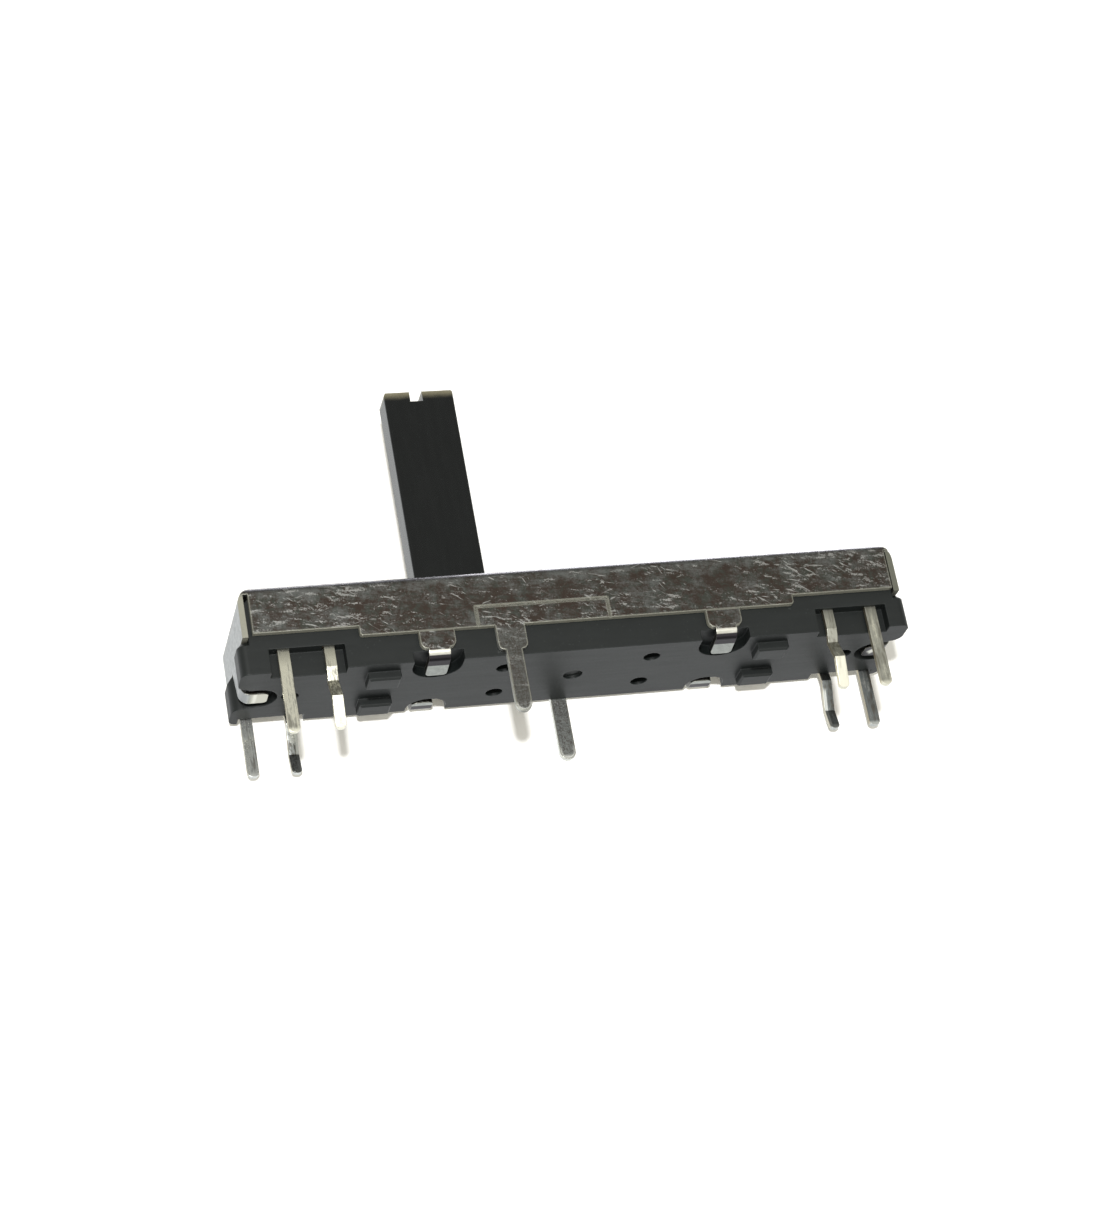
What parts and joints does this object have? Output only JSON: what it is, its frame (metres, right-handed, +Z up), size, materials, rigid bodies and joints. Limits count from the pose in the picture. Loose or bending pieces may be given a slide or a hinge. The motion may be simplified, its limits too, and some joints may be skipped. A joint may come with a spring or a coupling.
{
  "type": "slide potentiometer",
  "caption": "Slim dual-gang slide potentiometer: folded steel cover, black moulded base, upright slotted lever, snap-in terminals and solder lugs for a circuit board.",
  "frame": {"origin": "centre of the plane on the circuit board that the four moulded feet rest on", "axes": "+X along the lever's travel, +Y across the body to its rear long side, +Z up out of the board along the lever"},
  "size_m": [0.0462, 0.009, 0.0262],
  "materials": {
    "tinned_steel": "mottled tin plate, scratched",
    "base_moulding": "black glass-filled moulding",
    "lever_moulding": "black satin moulding",
    "phenolic_board": "brown phenolic paper with printed black tracks",
    "tinned_brass": "bright tin plate",
    "contact_bronze": "bright rolled bronze",
    "spring_steel": "bright rolled strip"
  },
  "bodies": {
    "body": {"cover": "tinned_steel", "base": "base_moulding", "element_board_front": "phenolic_board", "element_board_rear": "phenolic_board", "front_rivet_1": "tinned_brass", "front_rivet_2": "tinned_brass", "front_rivet_3": "tinned_brass", "front_rivet_4": "tinned_brass", "rear_rivet_1": "tinned_brass", "rear_rivet_2": "tinned_brass", "rear_rivet_3": "tinned_brass", "rear_rivet_4": "tinned_brass", "front_terminal_1": "tinned_brass", "front_terminal_2": "tinned_brass", "front_terminal_3": "tinned_brass", "front_terminal_4": "tinned_brass", "rear_terminal_1": "tinned_brass", "rear_terminal_2": "tinned_brass", "rear_terminal_3": "tinned_brass", "rear_terminal_4": "tinned_brass"},
    "slider": {"lever": "lever_moulding", "wiper_front": "contact_bronze", "wiper_rear": "contact_bronze", "guide_spring": "spring_steel"}
  },
  "joints": [
    {"name": "lever_slide", "type": "slide", "parent": "body", "child": "slider", "axis": [1, 0, 0], "range_m": [-0.0075, 0.0225]}
  ]
}
